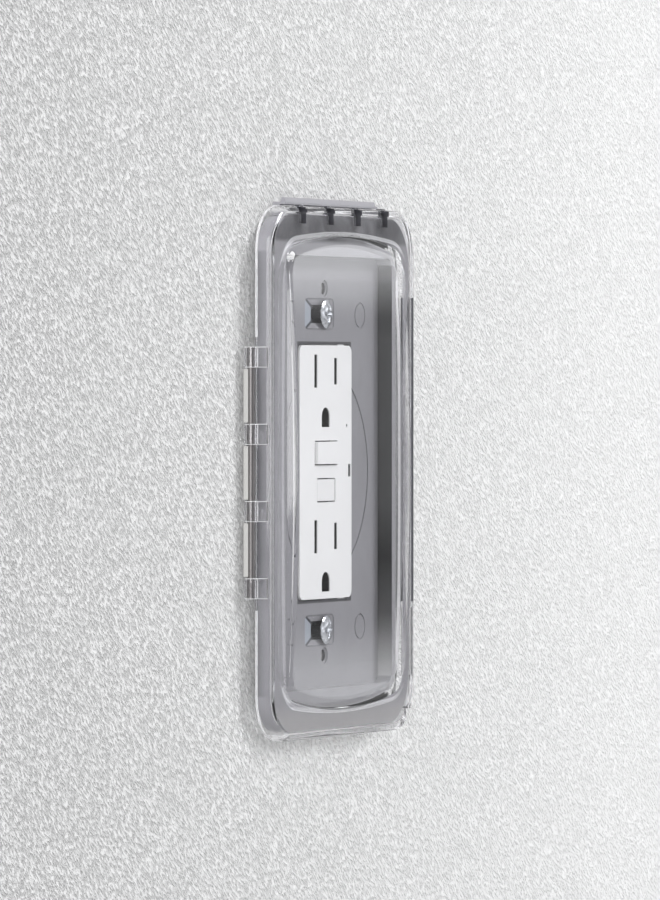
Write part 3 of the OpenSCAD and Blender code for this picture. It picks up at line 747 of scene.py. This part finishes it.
def make_box_screws(material, shaded):
    length = THREAD_END - THREAD_START
    steps = int(length / THREAD_PITCH * THREAD_STEPS)
    thread_ys = [THREAD_START + length * k / steps for k in range(steps + 1)]
    both = bmesh.new()
    for z in (SCREW_Z, -SCREW_Z):
        pan_head(both, z)
        turned(both, lambda y, turn: NECK_R, (HEAD_SEAT - 0.05, THREAD_START + 0.05), z, 32, SHADED)
        turned(both, thread_radius, thread_ys, z, 32, METAL)
    screws = add_mesh("box_screws", both)
    shade(screws, 40)
    stand_for(screws, "mounting_screws", material, shaded)


# ---------------------------------------------------------------- materials
def smoky_clear(name, tint):
    """Clear acrylic with a light smoke tint and fine moulding ripples. Lamps shine through it."""
    t = Tree(name)
    ripple = t.noise(90, 2, 0.4, (1, 1, 0.35))
    haze = t.span(t.noise(500), 0.35, 0.75, 0.02, 0.06)
    t.set(Base_Color=tint, Roughness=haze, Transmission_Weight=1.0, IOR=1.49,
          Normal=t.bump(ripple, 0.05, 0.25))
    shadow_ray = t.node("LightPath").outputs["Is Shadow Ray"]
    t.blend(shadow_ray, t.shader, t.clear((0.94, 0.94, 0.945)))
    return t.mat


def clear_pane():
    """The window's pane: too thin to bend the view, with a faint tint and a polished gloss that grows
    where the pane is seen at a slant."""
    t = Tree("clear_pane")
    gloss = t.node("BsdfGlossy")
    t.feed(gloss.inputs["Roughness"], t.span(t.noise(300), 0.3, 0.7, 0.015, 0.05))
    t.feed(gloss.inputs["Normal"], t.bump(t.noise(45, 2, 0.4, (1, 1, 0.3)), 0.03, 0.3))
    facing = t.node("LayerWeight")
    facing.inputs["Blend"].default_value = 0.5
    graze = t.math("POWER", facing.outputs["Facing"], 5)
    t.blend(t.math("MULTIPLY_ADD", graze, 0.96, 0.03), t.clear((0.99, 0.99, 0.995)), gloss)
    t.tree.nodes.remove(t.shader)
    return t.mat


def painted_lid_edge(name, tint, see_through):
    """Painted highlight or painted shade on faces of the lid, standing in for light and shade along its
    edges: part see-through, part scattering.
    """
    t = Tree(name)
    cloud = t.span(t.noise(420), 0.35, 0.7, see_through - 0.1, see_through + 0.1)
    t.set(Base_Color=t.mix(cloud, tint, tuple(c * 0.8 for c in tint)),
          Roughness=t.span(cloud, 0.4, 0.6, 0.12, 0.25), Normal=t.bump(t.noise(700, 2), 0.02, 0.4))
    t.blend(cloud, t.shader, t.clear(tuple(min(1, c * 1.2) for c in tint)))
    return t.mat


def plastic(name, colour, shadow, roughness, grain, grain_mm, mottle=60, coat=0.0):
    """Moulded plastic: soft colour drift, fine grain and a roughness that varies with it."""
    t = Tree(name)
    t.set(Base_Color=t.mix(t.drift(mottle), colour, shadow),
          Roughness=t.span(t.noise(grain / 6), 0.3, 0.7, roughness - 0.06, roughness + 0.08),
          Normal=t.bump(t.noise(grain, 3, 0.6), grain_mm, 0.5), Coat_Weight=coat)
    return t.mat


def from_screw(t):
    """Height above or below the nearer box screw, in mm."""
    return t.size(t.math("SUBTRACT", t.size(t.axis("Z")), SCREW_Z))


# (height in mm, grey level) points of the painted light and shade on the tray's side walls
TRAY_WALL_LIGHT_AND_SHADE = ((-57, 0.5), (-46, 0.26), (-38, 0.1), (-23, 0), (-8, 0.06), (35, 0.07), (47, 0), (57, 0))
TRAY_SIDE, TRAY_SIDE_T, TRAY_FRONT, TRAY_FLOOR = 34.6, 1.0, -6.05, -1.9


def paint_tray_walls(t, colour, x, y, z):
    """The tray's side walls change from pale to dark over their height: pale low down as painted light, dark
    above as painted shade.
    """
    in_wall = t.product(t.above(t.size(x), TRAY_SIDE, 0.2), t.below(t.size(x), TRAY_SIDE + TRAY_SIDE_T, 0.2))
    in_tray = t.product(t.above(y, TRAY_FRONT, 0.1), t.below(y, TRAY_FLOOR, 0.1))
    painted_tone = t.ramp(z, TRAY_WALL_LIGHT_AND_SHADE)
    grey = t.node("CombineXYZ")
    for socket in grey.inputs:
        t.feed(socket, painted_tone)
    return t.mix(t.product(in_wall, in_tray), colour, grey.outputs[0])


FLANGE_IN_W, FLANGE_IN_H, FLANGE_TOP, BASE_TOP, BASE_SIDE, RAIL_SIDE = 35, 60, 59.8, 69.5, 43.2, -44.2


def paint_flange(t, colour, x, y, z):
    """The flange in front, painted with light and shade: darker than the tray as painted shade, paler at the
    bottom as painted light, in painted shade at the top and on its outer sides, with a pale rail on top and
    another on the left; the left one is painted pale as painted light, with a painted contact shadow along
    its back."""
    flange = t.below(y, TRAY_FRONT, 0.1)
    rim = t.largest(t.above(t.size(x), FLANGE_IN_W, 0.5), t.above(t.size(z), FLANGE_IN_H, 2))
    # painted shade on the flange's rim, paler at the bottom as painted light
    grey = t.mix(t.below(z, -64, 5), (0.235, 0.232, 0.245), (0.32, 0.315, 0.315))
    colour = t.mix(t.product(flange, rim), colour, grey)
    # painted shade on the base's outer sides
    outer = t.product(t.above(t.size(x), BASE_SIDE, 0.2), t.span(y, -5.9, -2.6, 0.1, 0.7))
    colour = t.mix(outer, colour, (0.05, 0.05, 0.056))
    # painted shade at the top, made uneven
    uneven = t.span(t.noise(110, 3, 0.6), 0.38, 0.62, 0.55, 0.97)
    shade_on_top = t.product(t.above(z, FLANGE_TOP, 1.2), flange, uneven)
    colour = t.mix(shade_on_top, colour, (0.02, 0.02, 0.024))
    colour = t.mix(t.above(z, BASE_TOP, 0.2), colour, (0.31, 0.305, 0.33))
    # the left rail: painted pale as painted light, with a painted contact shadow towards the wall
    rail = t.mix(t.above(y, -1.2, 0.4), (0.5, 0.495, 0.48), (0.26, 0.257, 0.25))
    return t.mix(t.below(x, RAIL_SIDE, 0.2), colour, rail)


CREASE_SLOPE = 0.365


def paint_pockets(t, colour, x, y):
    """The screw pockets: a pale ramp on the left as painted light, and dark lines along the creases and the
    right end as painted shade.
    """
    left, right, half = POCKET
    apart = from_screw(t)
    sunk = t.product(t.above(y, -1.95, 0.02), t.below(y, -1.2, 0.1), t.below(apart, half, 0.05),
                     t.above(x, left - 0.1, 0.1), t.below(x, right, 0.05))
    from_left = t.product(t.math("SUBTRACT", x, left), CREASE_SLOPE)
    crease = t.math("ADD", from_left, t.math("SUBTRACT", apart, half))
    lines = t.largest(t.below(t.size(crease), 0.3, 0.15), t.above(apart, half - 0.35, 0.2))
    lines = t.largest(t.product(lines, t.span(x, -7.6, -7, 1, 0.6)), t.span(x, 5.5, 5.9, 0, 0.8))
    # painted light on the left ramp; painted shade on the crease lines below
    colour = t.mix(t.product(sunk, t.below(crease, -0.2, 0.3)), colour, (0.34, 0.37, 0.42))
    return t.mix(t.product(sunk, lines), colour, (0.035, 0.038, 0.05))


KEYHOLE_LOW, KEYHOLE_HIGH, KEYHOLE_LEFT, KEYHOLE_RIGHT = 39.2, 44.05, -7.3, 2.9
POST_HALF_W, POST_HIGH, POCKET_WALL_Y = 1.7, 52, -1.42
OPENING_HALF_W, OPENING_HALF_H, OPENING_Y = 17.1, 33.9, -1.95


def paint_openings(t, colour, x, y, z):
    """The walls of the keyholes and of the plate's opening, and the gap round the face, are dark: painted
    shade in the recesses and a painted shadow line round the face.
    """
    aside, up = t.size(x), t.size(z)
    keyhole = t.product(t.above(up, KEYHOLE_LOW, 0.1), t.below(up, KEYHOLE_HIGH, 0.1),
                        t.above(x, KEYHOLE_LEFT, 0.1), t.below(x, KEYHOLE_RIGHT, 0.1))
    post = t.product(t.below(aside, POST_HALF_W, 0.05), t.above(up, KEYHOLE_HIGH - 0.05, 0.05))
    behind = t.product(t.above(y, POCKET_WALL_Y, 0.06), t.below(up, POST_HIGH, 0.1))
    opening = t.product(t.below(aside, OPENING_HALF_W, 0.05), t.below(up, OPENING_HALF_H, 0.05),
                        t.above(y, OPENING_Y, 0.1))
    # a painted shadow line round the face
    gap = t.product(t.below(aside, OPENING_HALF_W, 0.2), t.below(up, OPENING_HALF_H + 0.4, 0.2),
                    t.span(y, -2.1, -2.05, 0, 0.85))
    dark = t.largest(t.product(t.largest(keyhole, post), behind), opening, gap)
    return t.mix(dark, colour, (0.01, 0.01, 0.012))


def cover_grey():
    """The cover base: grey plastic, painted darker and paler where it is seen through the lid, as painted
    shade and painted light.
    """
    t = Tree("cover_grey")
    x, y, z = t.axis("X"), t.axis("Y"), t.axis("Z")
    colour = t.mix(t.drift(60), (0.285, 0.282, 0.299), (0.26, 0.257, 0.272))
    colour = paint_tray_walls(t, colour, x, y, z)
    colour = paint_flange(t, colour, x, y, z)
    colour = paint_pockets(t, colour, x, y)
    colour = paint_openings(t, colour, x, y, z)
    t.set(Base_Color=colour, Roughness=t.span(t.noise(250), 0.3, 0.7, 0.3, 0.44),
          Normal=t.bump(t.noise(1500, 3, 0.6), 0.012, 0.5))
    return t.mat


FACE_HALF_W, FACE_HALF_H, FACE_Y, BUTTON_BAND = 16, 32.7, -2.34, 9


def face_white():
    """White face; the walls of its blade slots and pin holes go dark a little way in, as painted shade."""
    t = Tree("face_white")
    x, y, z = t.axis("X"), t.axis("Y"), t.axis("Z")
    off_buttons = t.span(t.size(z), BUTTON_BAND, BUTTON_BAND + 0.1, 0.25, 1)
    # painted shade in the slots and holes, weaker in the band of the buttons
    deep = t.product(t.below(t.size(x), FACE_HALF_W, 0.1), t.below(t.size(z), FACE_HALF_H, 0.1),
                     off_buttons, t.above(y, FACE_Y, 0.34))
    white = t.mix(t.drift(60), (0.9, 0.9, 0.897), (0.88, 0.88, 0.876))
    t.set(Base_Color=t.mix(deep, white, (0.012, 0.010, 0.009)),
          Roughness=t.span(t.noise(266), 0.3, 0.7, 0.32, 0.46),
          Normal=t.bump(t.noise(1600, 3, 0.6), 0.008, 0.5))
    return t.mat


DEEP_SHADE = (0.012, 0.012, 0.018)


def behind_keyholes(t):
    """1 on the strap's front where it lies deep behind the cover's keyholes."""
    across = t.below(t.size(t.math("ADD", t.axis("X"), 2.5)), 6, 1)
    along = t.below(from_screw(t), 3.2, 0.6)
    return t.product(across, along, t.below(t.axis("Y"), 3.6, 0.4))


def metal(name, colour, tarnish, roughness, spots=0.25, cloud_scale=120, shade_at=None):
    """Plated or drawn metal: tarnish clouds, fine scratches along one way and uneven gloss. shade_at gives
    a mask of where it lies in deep shade."""
    t = Tree(name)
    cloud = t.span(t.noise(cloud_scale, 5, 0.65), 0.45, 0.75, 0, spots)
    lines = t.noise(2600, 3, 0.6, (1, 1, 14))
    colour = t.mix(cloud, colour, tarnish)
    if shade_at:
        colour = t.mix(shade_at(t), colour, DEEP_SHADE)
    t.set(Base_Color=colour, Metallic=1.0, Normal=t.bump(lines, 0.01, 0.35),
          Roughness=t.span(lines, 0.3, 0.75, roughness - 0.08, roughness + 0.14))
    return t.mat


def foam():
    """Black closed-cell foam."""
    t = Tree("foam_black")
    cells = t.voronoi(1400)
    t.set(Base_Color=t.mix(t.span(cells, 0, 0.6, 0, 1), (0.012, 0.012, 0.013), (0.045, 0.045, 0.05)),
          Roughness=0.92, Normal=t.bump(cells, 0.35, 0.9))
    return t.mat


COIL_WIRE = 0.35


def winding():
    """Enamelled copper wire wound round Z: a band for each turn."""
    t = Tree("copper_wire")
    copper = (0.72, 0.28, 0.12)
    wave = t.node("TexWave", wave_type="BANDS", bands_direction="Z", wave_profile="SIN")
    t.feed(wave.inputs["Vector"], t.place())
    wave.inputs["Scale"].default_value = 1 / (COIL_WIRE * MM * 3.18)
    wave.inputs["Distortion"].default_value = 0.4
    band = wave.outputs["Fac"]
    t.set(Base_Color=t.mix(band, tuple(c * 0.25 for c in copper), copper), Roughness=0.3, Metallic=0.75,
          Normal=t.bump(band, 0.12, 1))
    return t.mat


def board():
    """Solder mask with darker copper tracks under it."""
    t = Tree("board_green")
    tracks = t.span(t.noise(260, 1, 0.3, (1, 0.1, 3)), 0.47, 0.5, 0, 1)
    t.set(Base_Color=t.mix(tracks, (0.02, 0.16, 0.07), (0.012, 0.10, 0.05)), Roughness=0.32,
          Normal=t.bump(tracks, 0.03, 0.6))
    return t.mat


def make_materials():
    return {
        "smoky_clear": smoky_clear("smoky_clear", (0.91, 0.908, 0.922)),
        "cover_grey": cover_grey(),
        "foam_black": foam(),
        "zinc_steel": metal("zinc_steel", (0.80, 0.82, 0.85), (0.13, 0.135, 0.15), 0.2, 0.95, 520),
        "hinge_pin": metal("hinge_pin", (0.20, 0.19, 0.19), (0.12, 0.11, 0.11), 0.3),
        "face_white": face_white(),
        "lens_dark": plastic("lens_dark", (0.02, 0.022, 0.02),
                             (0.03, 0.03, 0.028), 0.2, 900, 0.004, coat=0.3),
        "strap_steel": metal("strap_steel", (0.66, 0.67, 0.68), (0.45, 0.44, 0.42), 0.34,
                             shade_at=behind_keyholes),
        "housing_nylon": plastic("housing_nylon", (0.70, 0.70, 0.68), (0.64, 0.635, 0.61), 0.5, 1300, 0.03),
        "inner_nylon": plastic("inner_nylon", (0.74, 0.72, 0.64), (0.66, 0.64, 0.56), 0.5, 1300, 0.03),
        "contact_brass": metal("contact_brass", (0.78, 0.58, 0.24), (0.5, 0.33, 0.13), 0.27),
        "tinned_brass": metal("tinned_brass", (0.74, 0.73, 0.70), (0.55, 0.52, 0.47), 0.33),
        "silver_contact": metal("silver_contact", (0.88, 0.87, 0.85), (0.6, 0.57, 0.5), 0.18),
        "brass_screw": metal("brass_screw", (0.76, 0.56, 0.22), (0.45, 0.31, 0.12), 0.25),
        "green_screw": metal("green_screw", (0.10, 0.34, 0.15), (0.05, 0.18, 0.08), 0.3),
        "board_green": board(),
        "case_black": plastic("case_black", (0.018, 0.018, 0.02), (0.03, 0.03, 0.032), 0.42, 1500, 0.03),
        "core_grey": plastic("core_grey", (0.12, 0.12, 0.13), (0.08, 0.08, 0.085), 0.6, 2600, 0.05),
        "copper_wire": winding(),
        "spring_steel": metal("spring_steel", (0.68, 0.69, 0.71), (0.5, 0.48, 0.45), 0.24),
        "disc_orange": plastic("disc_orange", (0.62, 0.2, 0.03), (0.5, 0.14, 0.02),
                               0.35, 700, 0.03, coat=0.4),
        "film_yellow": plastic("film_yellow", (0.62, 0.43, 0.06), (0.54, 0.36, 0.05),
                               0.3, 900, 0.01, coat=0.3),
        "resistor_blue": plastic("resistor_blue", (0.10, 0.27, 0.42), (0.07, 0.2, 0.34),
                                 0.35, 900, 0.02, coat=0.3),
        "led_clear": plastic("led_clear", (0.36, 0.62, 0.38), (0.3, 0.52, 0.32),
                             0.12, 600, 0.003, coat=0.5),
    }


def finish_cad_nodes(materials):
    """Every CAD node takes its own slot's procedural material."""
    for name, node in NODES.items():
        node.data.materials.clear()
        node.data.materials.append(materials[SLOT_OF[name]])
        for polygon in node.data.polygons:
            polygon.material_index = 0


# ---------------------------------------------------------------- stage and lights
WALL_BACK = 0.2 * MM
WALL_HALF_W, WALL_TOP, FLOOR_Z, FLOOR_HALF = 1.4, 1.2, -0.6, 4
WALL_BOX_HALF_W, WALL_BOX_HALF_H = 24, 48
# the last is how dark the painted shade in the plaster's hollows goes
SPRAY_SLANT, SPRAY_REACH, PIT_SHADE_LEVEL = 50, 220, 0.55


def plane(name, corners):
    bm = bmesh.new()
    bm.faces.new([bm.verts.new(c) for c in corners])
    made = add_mesh(name, bm)
    return made


def plaster():
    """Rough white plaster, sprayed on at a slant, smoother and paler to the right, the paleness painted
    light. Its hollows are painted dark as painted shade, and it glows faintly, painted light that lifts its
    shadows. It is open where the wall box sits, and light and views from behind pass through it."""
    t = Tree("plaster")
    slant = radians(SPRAY_SLANT)
    side = t.span(t.axis("X"), -SPRAY_REACH, SPRAY_REACH, 0, 1)
    sprayed = t.noise(1200, 3, 0.5, (1.35, 1, 0.5), slant)
    fine = t.noise(1800, 2, 0.6, (1, 1, 0.6), slant)
    coarse = t.noise(130)
    lumps = t.product(t.span(side, 0, 1, 0.9, 0.4), t.span(sprayed, 0.34, 0.56, 0, 1))
    fewer, fainter = t.span(side, 0, 1, 1, 0.5), t.span(side, 0, 1, 1, 0.6)
    # painted shade in the plaster's hollows, fewer and fainter to the right
    pit_shade = t.product(t.span(sprayed, 0.34, 0.46, PIT_SHADE_LEVEL, 0), fewer, fainter)
    # painted light: the plaster is paler to the right
    ground = t.mix(side, (0.58, 0.58, 0.58), (0.69, 0.69, 0.69))
    t.set(Base_Color=t.mix(pit_shade, ground, (0.2, 0.2, 0.2)), Roughness=0.85, Emission_Color=(1, 1, 1),
          # a faint glow, painted light that lifts the wall's shadows, a little weaker in the painted shade
          Emission_Strength=t.span(pit_shade, 0, PIT_SHADE_LEVEL, 0.15, 0.1),
          Normal=t.bump(lumps, 1.1, 1, t.bump(fine, 0.4, 0.8, t.bump(coarse, 0.9, 0.6))))
    box_hole = t.product(t.below(t.size(t.axis("X")), WALL_BOX_HALF_W, 0.1),
                         t.below(t.size(t.axis("Z")), WALL_BOX_HALF_H, 0.1))
    from_behind = t.node("NewGeometry").outputs["Backfacing"]
    shadow_ray = t.node("LightPath").outputs["Is Shadow Ray"]
    t.blend(t.largest(from_behind, shadow_ray, box_hole), t.shader, t.clear())
    return t.mat


def make_stage():
    w, y, low, high = WALL_HALF_W, WALL_BACK, FLOOR_Z, WALL_TOP
    wall = plane("wall", [(-w, y, low), (w, y, low), (w, y, high), (-w, y, high)])
    wall.data.materials.append(plaster())
    if wall.data.polygons[0].normal.y > 0:
        wall.data.flip_normals()
    size = FLOOR_HALF
    floor = plane("floor", [(-size, -size, low), (size, -size, low), (size, size, low), (-size, size, low)])
    floor.data.materials.append(plastic("floor", (0.50, 0.50, 0.50), (0.48, 0.48, 0.48), 0.7, 40, 0.2, 3))


def area_light(name, at, size, power):
    """A square lamp that looks at the origin."""
    data = bpy.data.lights.new(name, "AREA")
    data.shape = "RECTANGLE"
    data.size = data.size_y = size
    data.energy = power
    light = bpy.data.objects.new(name, data)
    bpy.context.scene.collection.objects.link(light)
    light.location = at
    light.rotation_euler = (-Vector(at)).to_track_quat("-Z", "Y").to_euler()
    light.visible_camera = False


AMBIENT, GLOW, BACK_GLOW, PALE = 0.5, 2.0, 0.35, 0.82
LEVEL_DARK, LEVEL_SHIFT = (0.06, 0.096), 0.012


def studio_world():
    """Soft surroundings: dim on the left, bright low on the right, with a dark level band far right and a
    little glow at the back. The camera sees plain pale grey."""
    world = bpy.data.worlds.new("studio")
    bpy.context.scene.world = world
    world.use_nodes = True
    t = Nodes(world.node_tree)
    split = t.node("SeparateXYZ")
    t.feed(split.inputs[0], t.node("TexCoord").outputs["Generated"])
    x, y, z = split.outputs

    def smooth(value, low, high, to_low, to_high):
        return t.span(value, low, high, to_low, to_high, "SMOOTHSTEP")

    low_sky = t.product(smooth(z, 0.09, 0.17, 1, 0.05), smooth(z, -0.1, 0, 0.45, 1))
    glow = t.product(smooth(x, -0.2, 0.8, 0, 1), low_sky, GLOW)
    soft = t.math("ADD", glow, t.math("ADD", smooth(y, -0.3, 0.3, 0, BACK_GLOW), AMBIENT))
    off_level = smooth(t.size(t.math("ADD", z, LEVEL_SHIFT)), *LEVEL_DARK, 0, 1)
    shade_level = t.product(t.math("SUBTRACT", 1, off_level), smooth(x, 0.5, 0.8, 0, 0.9))
    pale = t.node("MixRGB")
    t.feed(pale.inputs[0], t.node("LightPath").outputs["Is Camera Ray"])
    t.feed(pale.inputs[1], t.product(soft, t.math("SUBTRACT", 1, shade_level)))
    t.feed(pale.inputs[2], (PALE, PALE, PALE))
    back = t.tree.nodes["Background"]
    t.feed(back.inputs["Strength"], pale.outputs[0])
    t.feed(back.inputs["Color"], (0.97, 0.98, 1))


def make_lights():
    area_light("key", (1.15, -1.5, 1.35), 0.8, 38)
    area_light("left_fill", (-2.1, -0.8, 0.7), 1.6, 30)
    area_light("back_fill", (-1.2, 2.0, 1.3), 1.4, 34)
    area_light("back_side", (2.0, 1.4, 0.5), 1.2, 12)
    studio_world()
    bpy.context.scene.view_settings.view_transform = "Standard"


# ---------------------------------------------------------------- the scene
make_camera()
make_stage()
make_lights()
MATERIALS = make_materials()
finish_cad_nodes(MATERIALS)
make_lid(MATERIALS["smoky_clear"])
refine_nodes(MATERIALS)
make_springs(MATERIALS["spring_steel"])
make_box_screws(MATERIALS["zinc_steel"],
                plastic("screw_shade", (0.004, 0.004, 0.006), (0.008, 0.008, 0.012), 0.8, 900, 0.02))
